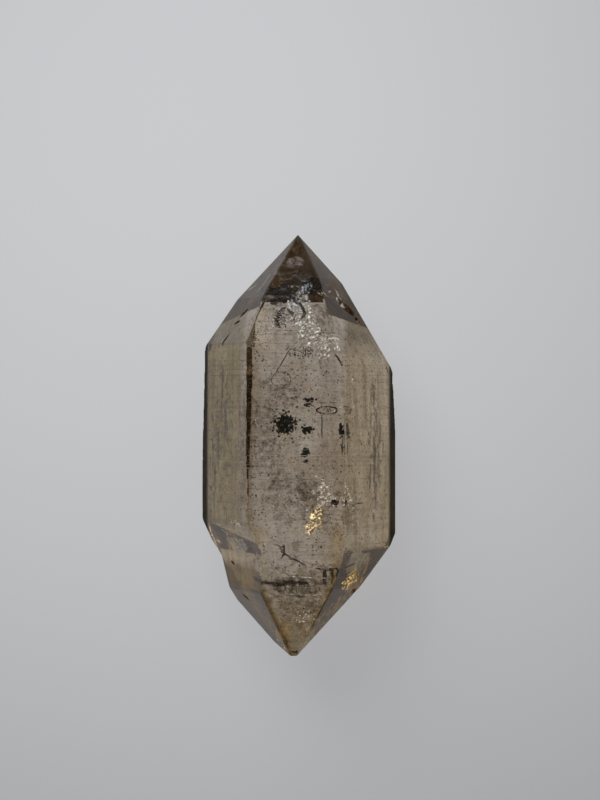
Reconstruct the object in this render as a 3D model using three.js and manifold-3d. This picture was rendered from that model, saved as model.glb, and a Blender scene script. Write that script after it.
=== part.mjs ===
// A double terminated smoky quartz crystal, lying on one face of its prism.
// Millimetres, +Z up. The crystal's long axis runs along Y, with its sharper tip at +Y.
import * as THREE from "three";
import { mergeVertices } from "three/addons/utils/BufferGeometryUtils.js";
import Module from "manifold-3d";

// Heights are measured along the long axis, from the lower tip.
const LENGTH = 42.13;
const BLOCK = 120; // side of the blocks that the faces are cut with
const EDGE_WEAR = 0.045; // how far a sharp edge is rubbed down
const WORN_ANGLE = 12; // degrees; flatter edges show no wear
const RISER_SLOPE = 0.8; // how steeply a growth step on the prism climbs
const SEED = 23;

// The six faces of the prism, by the direction that each one faces across the axis: 90 is up, -90 is down.
// girth is its greatest distance from the axis. Growth steps take upperTaper off it between the heights in
// upperRun, and lowerTaper below lowerRun. bands are the shallow striations between the steps.
const PRISM = [
  { facing: 90, girth: 8.58, upperTaper: 0.4, upperRun: [17, 30], lowerTaper: 0.06, bands: 13 },
  { facing: 30, girth: 8.5, upperTaper: 0.3, upperRun: [21.5, 27.5], lowerTaper: 0.05, bands: 12 },
  { facing: -30, girth: 8.46, upperTaper: 0.3, upperRun: [20.5, 28], lowerTaper: 0.08, bands: 12 },
  { facing: -90, girth: 8.3, upperTaper: 0.1, upperRun: [26, 30], lowerTaper: 0.1, bands: 0 },
  { facing: 210, girth: 8.55, upperTaper: 0.36, upperRun: [17, 31], lowerTaper: 0.04, bands: 12 },
  { facing: 150, girth: 8.22, upperTaper: 0.26, upperRun: [17, 31], lowerTaper: 0.04, bands: 14 },
];
const LOWER_RUN = [10, 15];
const RISERS = 7; // growth steps in each run
const BAND_RELIEF = 0.018;

// A face of a termination closes in on the axis: slope is how much nearer it comes for each millimetre along
// the crystal, and meets is the height at which it would reach the axis.
const UPPER_CAP = [
  { facing: 90, slope: 0.787, meets: LENGTH },
  { facing: 30, slope: 0.818, meets: LENGTH },
  { facing: -30, slope: 0.738, meets: LENGTH },
  { facing: -90, slope: 0.787, meets: LENGTH },
  { facing: 210, slope: 0.812, meets: LENGTH },
  { facing: 150, slope: 0.812, meets: LENGTH },
];
const UPPER_SHOULDER = [
  { facing: 87.2, slope: 0.58, meets: 44.35 },
  { facing: 30, slope: 0.503, meets: 45.22 },
  { facing: -30, slope: 0.503, meets: 44.45 },
  { facing: -90, slope: 0.45, meets: 48.74 },
  { facing: 210, slope: 0.595, meets: 44.5 },
  { facing: 150, slope: 0.6, meets: 44.42 },
];
const LOWER_CAP = [
  { facing: 90, slope: 0.787, meets: -0.8 },
  { facing: 30, slope: 0.844, meets: -0.27 },
  { facing: -30, slope: 0.715, meets: 0.5 },
  { facing: -90, slope: 0.787, meets: 0.8 },
  { facing: 210, slope: 0.85, meets: -1.45 },
  { facing: 150, slope: 0.725, meets: -1.29 },
];
const LOWER_SHOULDER = [
  { facing: 90, slope: 0.55, meets: -4.3 },
  { facing: 30, slope: 0.5615, meets: -4.02 },
  { facing: -90, slope: 0.5, meets: -0.58 },
];
// On the left of the lower end, growth stopped and went on again, which leaves a re-entrant ledge where the
// broad shoulder meets the steep faces below it.
const LEFT_BROAD = [
  { facing: 150, slope: 0.52, meets: -2.2 },
  { facing: 210, slope: 0.2, meets: -28.75 },
  { facing: 210, slope: 0.6, meets: -1.92 },
];
const LEFT_STEEP = [
  { facing: 150, slope: 0.21, meets: -21.2 },
  { facing: 210, slope: 0.21, meets: -22.4 },
];

// The lower tip is knocked blunt by two small chips. A chip is the plane through a point, with its direction.
const TIP_CHIPS = [
  { point: [-1.53, 0.42, 0.2], direction: [-0.55, -0.83, 0.12] },
  { point: [-0.63, 0.02, 0], direction: [-0.17, -0.98, -0.1] },
];

// Etch pits and chips: an irregular hollow, long by wide by deep, turned on its face by turn degrees.
// across is how far it sits from the middle of the face, positive to the right of the upward axis.
const PITS = [
  { on: UPPER_SHOULDER[5], across: 0.5, height: 34.15, size: [1.5, 0.42, 0.5], turn: -48 },
  { on: UPPER_SHOULDER[5], across: 0.05, height: 33.2, size: [1.2, 0.3, 0.35], turn: -72 },
  { on: UPPER_SHOULDER[5], across: -0.6, height: 31.5, size: [1.6, 0.3, 0.4], turn: -22 },
  { on: UPPER_SHOULDER[1], across: -0.2, height: 35.2, size: [1.3, 1.0, 0.45], turn: 30 },
  { on: UPPER_SHOULDER[1], across: 0.75, height: 34.5, size: [2.4, 1.1, 0.5], turn: 58 },
  { on: UPPER_SHOULDER[1], across: 1.7, height: 33.4, size: [1.1, 0.7, 0.4], turn: 35 },
  { on: UPPER_SHOULDER[1], across: 3.4, height: 36.0, size: [1.5, 0.7, 0.45], turn: 20 },
  { on: UPPER_SHOULDER[2], across: -1.2, height: 33.2, size: [1.3, 0.6, 0.4], turn: 30 },
  { on: UPPER_SHOULDER[3], across: 1.6, height: 34.0, size: [1.6, 0.5, 0.4], turn: 65 },
  { on: UPPER_SHOULDER[4], across: -0.8, height: 33.5, size: [1.2, 0.5, 0.4], turn: -35 },
  { on: LOWER_SHOULDER[1], across: -0.2, height: 8.3, size: [1.1, 0.3, 0.35], turn: 80 },
  { on: LOWER_CAP[1], across: 1.2, height: 6.6, size: [1.3, 0.8, 0.4], turn: 55 },
  { on: LOWER_CAP[2], across: 0.6, height: 7.6, size: [1.6, 0.7, 0.4], turn: -60 },
  { on: LOWER_CAP[5], across: -1.0, height: 6.0, size: [1.0, 0.5, 0.3], turn: 40 },
  { on: LEFT_STEEP[0], across: -1.6, height: 9.4, size: [0.9, 0.35, 0.3], turn: 75 },
];
const PIT_ROUGHNESS = 0.28;

const wasm = await Module();
wasm.setup();

// Repeatable numbers from 0 to 1.
function randomFrom(seed) {
  let state = seed;
  return () => {
    state = (state * 1664525 + 1013904223) % 4294967296;
    return state / 4294967296;
  };
}

function solidFrom(geometry) {
  const bare = geometry.index ? geometry.toNonIndexed() : geometry.clone();
  bare.deleteAttribute("normal");
  bare.deleteAttribute("uv");
  const merged = mergeVertices(bare, 1e-5);
  return new wasm.Manifold(
    new wasm.Mesh({
      numProp: 3,
      vertProperties: merged.attributes.position.array,
      triVerts: new Uint32Array(merged.index.array),
    }),
  );
}

function geometryFrom(solid) {
  const mesh = solid.getMesh();
  const geometry = new THREE.BufferGeometry();
  geometry.setAttribute("position", new THREE.BufferAttribute(mesh.vertProperties, 3));
  geometry.setIndex(new THREE.BufferAttribute(mesh.triVerts, 1));
  return geometry;
}

// The direction across the axis that a face looks in.
function outwards(facing) {
  const angle = THREE.MathUtils.degToRad(facing);
  return new THREE.Vector3(Math.cos(angle), 0, Math.sin(angle));
}

function distanceAt(face, height) {
  return face.slope * Math.abs(face.meets - height);
}

function normalOf(face) {
  const end = face.meets > LENGTH / 2 ? 1 : -1;
  return outwards(face.facing).setY(face.slope * end).normalize();
}

// A block whose one side lies in the plane through point, and which fills everything beyond it.
function blockBeyond(point, normal) {
  const block = new THREE.BoxGeometry(BLOCK, BLOCK, BLOCK);
  block.translate(0, 0, BLOCK / 2);
  block.applyQuaternion(new THREE.Quaternion().setFromUnitVectors(new THREE.Vector3(0, 0, 1), normal));
  block.translate(point.x, point.y, point.z);
  return solidFrom(block);
}

function beyondFace(face) {
  return blockBeyond(new THREE.Vector3(0, face.meets, 0), normalOf(face));
}

function cutByFaces(solid, faces) {
  return faces.reduce((left, face) => left.subtract(beyondFace(face)), solid);
}

// The outline of one prism face as [height, distance] points, from below the lower tip to above the upper one.
function prismOutline(face, random) {
  const steps = [];
  const run = (from, to, change) => {
    const shares = Array.from({ length: RISERS }, () => 0.4 + random());
    const sum = shares.reduce((a, b) => a + b, 0);
    shares.forEach((share, i) => {
      const height = from + ((to - from) * (i + 0.15 + 0.7 * random())) / RISERS;
      steps.push([height, (change * share) / sum]);
    });
  };
  run(LOWER_RUN[0], LOWER_RUN[1], face.lowerTaper);
  run(face.upperRun[0], face.upperRun[1], -face.upperTaper);
  for (let i = 0; i < face.bands; i++) {
    const height = 9 + (24 * (i + random())) / face.bands;
    const relief = BAND_RELIEF * (0.4 + random());
    steps.push([height, -relief], [height + 0.15 + 0.9 * random(), relief]);
  }
  steps.sort((a, b) => a[0] - b[0]);

  let distance = face.girth - face.lowerTaper;
  const outline = [[-BLOCK / 4, distance]];
  for (const [height, change] of steps) {
    const from = Math.max(height, outline.at(-1)[0] + 0.01);
    outline.push([from, distance]);
    distance += change;
    outline.push([from + Math.abs(change) / RISER_SLOPE, distance]);
  }
  outline.push([LENGTH + BLOCK / 4, distance]);
  return outline;
}

function distanceOnOutline(outline, height) {
  const next = outline.findIndex((point) => point[0] >= height);
  if (next <= 0) return outline[0][1];
  const [h0, d0] = outline[next - 1];
  const [h1, d1] = outline[next];
  return d0 + ((d1 - d0) * (height - h0)) / (h1 - h0);
}

// Where two neighbouring faces meet, at the distances that they have at one height.
function cornerBetween(a, distanceA, b, distanceB) {
  const na = outwards(a.facing);
  const nb = outwards(b.facing);
  const cross = na.x * nb.z - na.z * nb.x;
  return [(distanceA * nb.z - distanceB * na.z) / cross, (distanceB * na.x - distanceA * nb.x) / cross];
}

// The long prism: a stack of hexagonal rings with a ring at every riser of every face.
function prism() {
  const random = randomFrom(SEED);
  const outlines = PRISM.map((face) => prismOutline(face, random));
  const heights = [...new Set(outlines.flat().map((point) => point[0]))].sort((a, b) => a - b);
  const positions = [];
  const sides = PRISM.length;
  for (const height of heights) {
    PRISM.forEach((face, i) => {
      const j = (i + 1) % sides;
      const here = distanceOnOutline(outlines[i], height);
      const there = distanceOnOutline(outlines[j], height);
      const [x, z] = cornerBetween(face, here, PRISM[j], there);
      positions.push(x, height, z);
    });
  }
  const index = [];
  for (let ring = 0; ring < heights.length - 1; ring++) {
    for (let i = 0; i < sides; i++) {
      const a = ring * sides + i;
      const b = ring * sides + ((i + 1) % sides);
      index.push(a, b, b + sides, a, b + sides, a + sides);
    }
  }
  const top = (heights.length - 1) * sides;
  for (let i = 1; i < sides - 1; i++) {
    index.push(0, i + 1, i);
    index.push(top, top + i, top + i + 1);
  }
  const geometry = new THREE.BufferGeometry();
  geometry.setAttribute("position", new THREE.Float32BufferAttribute(positions, 3));
  geometry.setIndex(index);
  const solid = solidFrom(geometry);
  if (solid.volume() <= 0) throw new Error("the prism is inside out");
  return solid;
}

// The same prism with no steps, as faces to find the crystal's edges with.
function plainPrismFaces() {
  return PRISM.map((face) => ({ normal: outwards(face.facing), distance: face.girth - face.lowerTaper / 2 }));
}

// Planes that rub down every sharp edge of a solid. Each one leans half way between the edge's two faces.
function wearOf(solid) {
  const { vertProperties, triVerts, numProp } = solid.getMesh();
  const corner = (i) => new THREE.Vector3().fromArray(vertProperties, i * numProp);
  const sidesOf = new Map();
  for (let t = 0; t < triVerts.length; t += 3) {
    const ids = [triVerts[t], triVerts[t + 1], triVerts[t + 2]];
    const [a, b, c] = ids.map(corner);
    const normal = b.clone().sub(a).cross(c.clone().sub(a)).normalize();
    ids.forEach((from, i) => {
      const to = ids[(i + 1) % 3];
      const key = from < to ? `${from} ${to}` : `${to} ${from}`;
      sidesOf.set(key, [...(sidesOf.get(key) ?? []), { normal, point: corner(from) }]);
    });
  }
  const sharp = Math.cos(THREE.MathUtils.degToRad(WORN_ANGLE));
  return [...sidesOf.values()]
    .filter(([one, other]) => one.normal.dot(other.normal) < sharp)
    .map(([one, other]) => {
      const normal = one.normal.clone().add(other.normal).normalize();
      return { normal, point: one.point.clone().addScaledVector(normal, -EDGE_WEAR) };
    });
}

// An irregular hollow with flat sides, as dissolving leaves it, centred on a point of a face.
function pit({ on, across, height, size, turn }, random) {
  const shape = new THREE.OctahedronGeometry(0.5, 1);
  const corners = mergeVertices(shape.deleteAttribute("uv").deleteAttribute("normal"), 1e-4);
  const position = corners.attributes.position;
  for (let i = 0; i < position.count; i++) {
    const swell = 1 + PIT_ROUGHNESS * (random() - 0.5);
    position.setXYZ(i, position.getX(i) * swell, position.getY(i) * swell, position.getZ(i) * swell);
  }
  const [long, wide, deep] = size;
  corners.scale(wide, long, deep * 2);
  corners.rotateZ(THREE.MathUtils.degToRad(turn));
  const normal = normalOf(on);
  const side = new THREE.Vector3().crossVectors(new THREE.Vector3(0, 1, 0), outwards(on.facing)).normalize();
  const along = new THREE.Vector3().crossVectors(normal, side);
  corners.applyMatrix4(new THREE.Matrix4().makeBasis(side, along, normal));
  const centre = outwards(on.facing).multiplyScalar(distanceAt(on, height));
  centre.setY(height).addScaledVector(side, across);
  corners.translate(centre.x, centre.y, centre.z);
  return solidFrom(corners);
}

// A convex growth of the crystal: the prism closed by its faces, with every sharp edge rubbed down.
function growth(striated, plain, leftFaces) {
  const closing = [...UPPER_CAP, ...UPPER_SHOULDER, ...LOWER_CAP, ...LOWER_SHOULDER, ...leftFaces];
  const planes = [...wearOf(cutByFaces(plain, closing))];
  for (const { point, direction } of TIP_CHIPS) {
    planes.push({ point: new THREE.Vector3(...point), normal: new THREE.Vector3(...direction).normalize() });
  }
  return planes.reduce(
    (solid, { point, normal }) => solid.subtract(blockBeyond(point, normal)),
    cutByFaces(striated, closing),
  );
}

function crystal() {
  const striated = prism();
  const plain = plainPrismFaces().reduce(
    (solid, { normal, distance }) =>
      solid.subtract(blockBeyond(normal.clone().multiplyScalar(distance), normal)),
    solidFrom(new THREE.BoxGeometry(BLOCK / 2, BLOCK, BLOCK / 2)),
  );
  let solid = growth(striated, plain, LEFT_BROAD).add(growth(striated, plain, LEFT_STEEP));
  const random = randomFrom(SEED + 1);
  for (const hollow of PITS) solid = solid.subtract(pit(hollow, random));
  return solid;
}

// Sets a geometry down on z = 0, with the middle of its box on the Z axis.
function restOnTheGround(geometry) {
  geometry.computeBoundingBox();
  const { min, max } = geometry.boundingBox;
  geometry.translate(-(min.x + max.x) / 2, -(min.y + max.y) / 2, -min.z);
  return geometry;
}

const smokyQuartz = new THREE.MeshStandardMaterial({
  name: "smoky_quartz",
  color: new THREE.Color(0.47, 0.41, 0.34),
  roughness: 0.06,
  metalness: 0,
  transparent: true,
  opacity: 0.55,
  flatShading: true,
});

const quartz = new THREE.Mesh(restOnTheGround(geometryFrom(crystal())), smokyQuartz);
quartz.name = "quartz_crystal";

const part = new THREE.Group();
part.name = "double_terminated_smoky_quartz";
part.add(quartz);

export default part;
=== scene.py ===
import math
import random

import bmesh
import bpy
from mathutils import Matrix, Vector, noise


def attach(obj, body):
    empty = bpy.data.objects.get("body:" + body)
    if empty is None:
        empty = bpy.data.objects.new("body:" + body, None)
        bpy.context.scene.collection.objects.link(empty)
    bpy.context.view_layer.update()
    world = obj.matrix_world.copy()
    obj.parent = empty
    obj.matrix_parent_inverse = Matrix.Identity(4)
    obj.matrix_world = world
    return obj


MM = 0.001

# Camera: straight down on the crystal, turned a little towards its right side
CAMERA_DISTANCE = 200 * MM
CAMERA_LENS = 90
CAMERA_TURN = math.radians(3.0)
CAMERA_SENSOR = 36
CAMERA_CLIP = 5 * MM
CAMERA_TARGET = Vector((0.15, 4.5, 8.3)) * MM

# Floor and light
FLOOR_SIZE = 6.0
FLOOR_GAP = 0.03 * MM
FLOOR_COLOUR = (0.32, 0.32, 0.325, 1.0)
FLOOR_ROUGHNESS = 0.9
FLOOR_SPECULAR = 0.1
FLOOR_GLOW_COLOUR = (0.96, 0.97, 1.0, 1.0)
FLOOR_GLOW = 0.46
GLOW_MIDDLE = Vector((-12.0, 30.0, 0.0)) * MM
GLOW_REACH = 150 * MM
GLOW_FAR_SHARE = 0.2
WORLD_COLOUR = (0.5, 0.5, 0.52, 1.0)
WORLD_STRENGTH = 0.38
KEY_POWER = 1.4
KEY_SIZE = 0.4
KEY_PLACE = Vector((-0.16, 0.40, 0.38))

# Smoky quartz. The absorption is per metre.
QUARTZ_IOR = 1.544
QUARTZ_ABSORPTION = 84.0
QUARTZ_ABSORPTION_COLOUR = (0.72, 0.61, 0.465, 1.0)
QUARTZ_CLEAR = (1.0, 1.0, 1.0, 1.0)
QUARTZ_SPECULAR = (0.55, 0.45, 0.30, 1.0)
QUARTZ_CLOUDED = (0.20, 0.165, 0.12, 1.0)
QUARTZ_WISPED = (0.82, 0.765, 0.665, 1.0)
QUARTZ_LEFT = (0.37, 0.29, 0.11, 1.0)
QUARTZ_RIGHT = (0.86, 0.72, 0.46, 1.0)
QUARTZ_HIGH_RIGHT = (0.26, 0.20, 0.11, 1.0)
QUARTZ_HIGH_LEFT = (0.21, 0.175, 0.10, 1.0)
QUARTZ_TIP = (0.55, 0.70, 0.95, 1.0)
QUARTZ_LOW = (0.80, 0.66, 0.46, 1.0)
QUARTZ_LOW_LEFT = (0.26, 0.165, 0.04, 1.0)
QUARTZ_LOW_RIGHT = (0.46, 0.32, 0.09, 1.0)
QUARTZ_SHOULDER = (0.96, 0.84, 0.60, 1.0)
QUARTZ_RIDGE = (0.50, 0.43, 0.31, 1.0)
QUARTZ_FLECK = (0.03, 0.024, 0.016, 1.0)
# Painted shade: a near-black tint at the outermost edges, standing in for the dark rim where light is bent
# back inside
QUARTZ_EDGE_SHADE = (0.012, 0.01, 0.006, 1.0)

# Where each tint of the quartz begins and where it is full. The steep faces of the lower end lean, so their
# place across changes along the crystal. A shoulder is a strip on both sides of one place along it, and the
# streaks are fainter in front than in the flanks.
LEFT_ZONE = (-4.7 * MM, -5.3 * MM)
RIGHT_ZONE = (4.5 * MM, 5.1 * MM)
HIGH_ZONE = (8.5 * MM, 10.5 * MM)
HIGH_LEFT_ZONE = (9.75 * MM, 9.95 * MM)
TIP_ZONE = (13.0 * MM, 16.0 * MM)
LOW_ZONE = (-9.0 * MM, -17.0 * MM)
LOW_SIDE_ZONE = (-8.0 * MM, -11.0 * MM)
LOW_SIDE_LEAN = 0.37
LOW_SIDE_REACH = (7.8 * MM, 8.4 * MM)
ABOVE_LOW_ZONE = (-10.5 * MM, -8.5 * MM)
FLANK_ZONE = (4.2 * MM, 5.4 * MM)
FLANK_STREAKS = (0.25, 1.0)
SHOULDER = -9.9 * MM
SHOULDER_ZONE = (2.2 * MM, 1.2 * MM)
SHOULDER_START = (3.0 * MM, 3.8 * MM)
# The outermost edges, which get the painted shade and are frosted
EDGE_ZONE = (8.9 * MM, 9.2 * MM)

# Dark strips along the edges of the front face: place across, how far from there each begins and where it
# is full, and its most
RIDGES = [
    (-4.8 * MM, (1.25 * MM, 0.3 * MM), 1.0),
    (3.3 * MM, (1.3 * MM, 0.2 * MM), 0.45),
]

# Patterns in the quartz. Each is a noise (scale, stretch, detail, roughness), spread over a range
# (where it begins and where it is full, its least and its most).
PATTERNS = {
    "patches": ((260.0, (1, 0.5, 1), 5.0, 0.5), (0.35, 0.62, 0.1, 0.85)),
    "streaks": ((1.0, (1500, 110, 1500), 6.0, 0.6), (0.44, 0.70, 0.0, 0.8)),
    "clouds": ((1500.0, (1, 1, 1), 10.0, 0.75), (0.50, 0.72, 0.0, 0.85)),
    "wisps": ((330.0, (1, 0.7, 1), 6.0, 0.6), (0.46, 0.62, 0.0, 1.0)),
    "flecks": ((4200.0, (1, 1, 1), 3.0, 0.5), (0.64, 0.70, 0.0, 0.95)),
    "frost": ((700.0, (1, 1.6, 1), 6.0, 0.5), (0.5, 0.72, 0.012, 0.11)),
}

# Relief: fine lines across the quartz, which tint it as well, and grooves along it
LINES = (1.0, (60, 2600, 60), 3.0)
LINES_SPREAD = (0.56, 0.74, 0.0, 0.5)
LINES_HEIGHT = 0.35
GROOVES = (1.0, (1900, 160, 1900), 3.0)
BUMP_STRENGTH = 0.17
BUMP_DISTANCE = 0.02 * MM

# How much rougher the outermost edges and the steep faces of the lower end are
EDGE_FROST = 0.7
LOW_SIDE_FROST = 0.12

# How each kind of inclusion looks: its dark and its pale tone, how rough and how metallic it is, the scale
# of its mottling, the noise values at which it is bare and covered, and how dense it is at its fullest.
# A cover of (0, 0) is solid. Some have a painted glint: light given off in spots, standing in for
# highlights.
# Some have a painted glow: a little light given off in their pale tone, standing in for light caught inside
# the crystal. Where along is given, it draws the mottling out: along the crystal below 1, across it above
# 1.
FINISHES = {
    "dark_grain": {
        "low": (0.006, 0.009, 0.009, 1),
        "high": (0.045, 0.06, 0.055, 1),
        "rough": 0.45,
        "scale": 2500.0,
        "cover": (0, 0),
        "opacity": 1.0,
    },
    "grey_body": {
        "low": (0.52, 0.49, 0.43, 1),
        "high": (0.96, 0.92, 0.82, 1),
        "rough": 0.7,
        "scale": 900.0,
        "cover": (0.25, 0.6),
        "opacity": 0.75,
        # painted glow: lifts the grey body, which the light inside the crystal left too dark
        "glow": 0.17,
    },
    "silver_fracture": {
        "low": (0.8, 0.78, 0.74, 1),
        "high": (0.97, 0.95, 0.91, 1),
        "rough": 0.3,
        "metallic": 0.35,
        "scale": 1700.0,
        "cover": (0.38, 0.56),
        "opacity": 0.75,
        # painted glint: light given off in spots, standing in for highlights on the fracture
        "glint": 0.9,
    },
    "gold_fracture": {
        "low": (0.34, 0.21, 0.08, 1),
        "high": (1.0, 0.86, 0.54, 1),
        "rough": 0.25,
        "metallic": 0.6,
        "scale": 1600.0,
        "cover": (0.38, 0.54),
        "opacity": 0.85,
        # painted glint: light given off in spots, standing in for highlights on the fracture
        "glint": 1.9,
    },
    "brown_film": {
        "low": (0.06, 0.038, 0.022, 1),
        "high": (0.26, 0.18, 0.11, 1),
        "rough": 0.5,
        "scale": 1000.0,
        "cover": (0.4, 0.66),
        "opacity": 0.6,
    },
    "dark_film": {
        "low": (0.01, 0.007, 0.005, 1),
        "high": (0.05, 0.035, 0.022, 1),
        "rough": 0.4,
        "scale": 900.0,
        "cover": (0.22, 0.5),
        "opacity": 0.9,
    },
    "amber_film": {
        "low": (0.26, 0.16, 0.06, 1),
        "high": (0.62, 0.46, 0.22, 1),
        "rough": 0.5,
        "scale": 700.0,
        "cover": (0.44, 0.68),
        "opacity": 0.6,
    },
    "pale_veil": {
        "low": (0.5, 0.45, 0.38, 1),
        "high": (0.92, 0.87, 0.79, 1),
        "rough": 0.6,
        "scale": 900.0,
        "cover": (0.44, 0.68),
        "opacity": 0.55,
        # painted glow: a little light given off, standing in for light caught inside the crystal
        "glow": 0.1,
    },
    "streak_film": {
        "low": (0.03, 0.02, 0.008, 1),
        "high": (0.3, 0.21, 0.09, 1),
        "rough": 0.5,
        "scale": 1500.0,
        "cover": (0.44, 0.62),
        "opacity": 0.75,
        "along": 0.1,
    },
    "tip_haze": {
        "low": (0.46, 0.33, 0.24, 1),
        "high": (0.9, 0.7, 0.53, 1),
        "rough": 0.6,
        "scale": 1100.0,
        "cover": (0.3, 0.6),
        "opacity": 0.85,
        # painted glow: a little light given off, standing in for light caught inside the crystal
        "glow": 0.15,
    },
    "low_haze": {
        "low": (0.44, 0.41, 0.36, 1),
        "high": (0.84, 0.79, 0.71, 1),
        "rough": 0.6,
        "scale": 900.0,
        "cover": (0.18, 0.5),
        "opacity": 0.82,
        # painted glow: a little light given off, standing in for light caught inside the crystal
        "glow": 0.12,
    },
    "tip_streaks": {
        "low": (0.14, 0.095, 0.065, 1),
        "high": (0.6, 0.45, 0.34, 1),
        "rough": 0.5,
        "scale": 420.0,
        "cover": (0.44, 0.62),
        "opacity": 0.75,
        # painted glow: a little light given off, standing in for light caught inside the crystal
        "glow": 0.06,
        "along": 4.5,
    },
    "golden_streaks": {
        "low": (0.26, 0.17, 0.06, 1),
        "high": (0.86, 0.66, 0.34, 1),
        "rough": 0.5,
        "scale": 1500.0,
        "cover": (0.38, 0.62),
        "opacity": 0.75,
        # painted glow: stands in for the golden sheen of the steep faces of the lower end
        "glow": 0.2,
        "along": 0.16,
    },
    "pale_streaks": {
        "low": (0.5, 0.43, 0.3, 1),
        "high": (0.95, 0.88, 0.7, 1),
        "rough": 0.5,
        "scale": 1500.0,
        "cover": (0.48, 0.68),
        "opacity": 0.6,
        # painted glow: a little light given off, standing in for light caught inside the crystal
        "glow": 0.16,
        "along": 0.1,
    },
}

# The noises of the mottling: how much finer than the scale of the inclusion, detail, and the range it is
# spread over. The range of the cover is the inclusion's own.
TONE_NOISE = (1.0, 4.0, 0.35, 0.65)
COVER_NOISE = (1.7, 5.0)
# The spots where the painted glint shows
PAINTED_GLINT_NOISE = (2.2, 3.0, 0.48, 0.66)

# Places are in millimetres, in the crystal's own frame.
# Clusters of grains: name, middle, spread, how many, largest grain, material
CLUSTERS = [
    ("dark_cluster", (-0.98, 2.2, 14.0), (0.95, 0.95, 0.5), 330, 0.15, "dark_grain"),
    ("dark_cluster_core", (-1.02, 2.15, 13.7), (0.62, 0.66, 0.3), 19, 0.36, "dark_grain"),
    ("dark_spot_middle", (1.27, 1.65, 14.0), (0.46, 0.3, 0.35), 30, 0.24, "dark_grain"),
    ("dark_spot_low", (1.02, -0.6, 13.9), (0.28, 0.34, 0.3), 26, 0.26, "dark_grain"),
    ("dark_spot_lowest", (1.07, -1.5, 13.9), (0.26, 0.22, 0.3), 12, 0.13, "dark_grain"),
    ("green_cluster", (1.47, 4.35, 13.6), (0.5, 0.62, 0.5), 30, 0.16, "dark_grain"),
    ("grain_row", (-0.28, 4.7, 13.8), (0.8, 0.16, 0.2), 26, 0.1, "dark_grain"),
    ("edge_cluster", (4.55, 1.45, 15.0), (0.24, 0.62, 0.2), 34, 0.18, "dark_grain"),
    ("blob_rim", (1.02, 0.9, 13.3), (0.7, 1.3, 0.3), 26, 0.1, "dark_grain"),
    ("brown_blob", (3.9, -5.35, 14.8), (0.4, 0.3, 0.25), 26, 0.17, "dark_film"),
    ("sugary_grains", (-1.5, 12.2, 13.4), (1.0, 1.5, 0.35), 150, 0.06, "silver_fracture"),
    ("sugary_shadows", (-1.4, 12.0, 13.2), (1.1, 1.5, 0.35), 120, 0.08, "dark_grain"),
    ("shoulder_grains", (0.6, 8.9, 14.4), (1.6, 0.3, 0.3), 60, 0.08, "dark_grain"),
    ("ledge_grains", (-5.6, -7.35, 13.4), (1.1, 0.15, 0.9), 120, 0.1, "silver_fracture"),
    ("ledge_spots", (-3.35, -10.1, 13.8), (0.5, 0.6, 0.4), 34, 0.1, "brown_film"),
    ("crazed_spots", (4.9, -13.0, 11.5), (0.8, 0.8, 0.6), 70, 0.1, "gold_fracture"),
    ("low_flecks", (0.4, -16.2, 10.9), (1.5, 1.5, 0.5), 90, 0.09, "silver_fracture"),
    ("band_grains", (0.0, -13.4, 11.8), (3.2, 0.5, 0.4), 110, 0.085, "dark_grain"),
]

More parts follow.
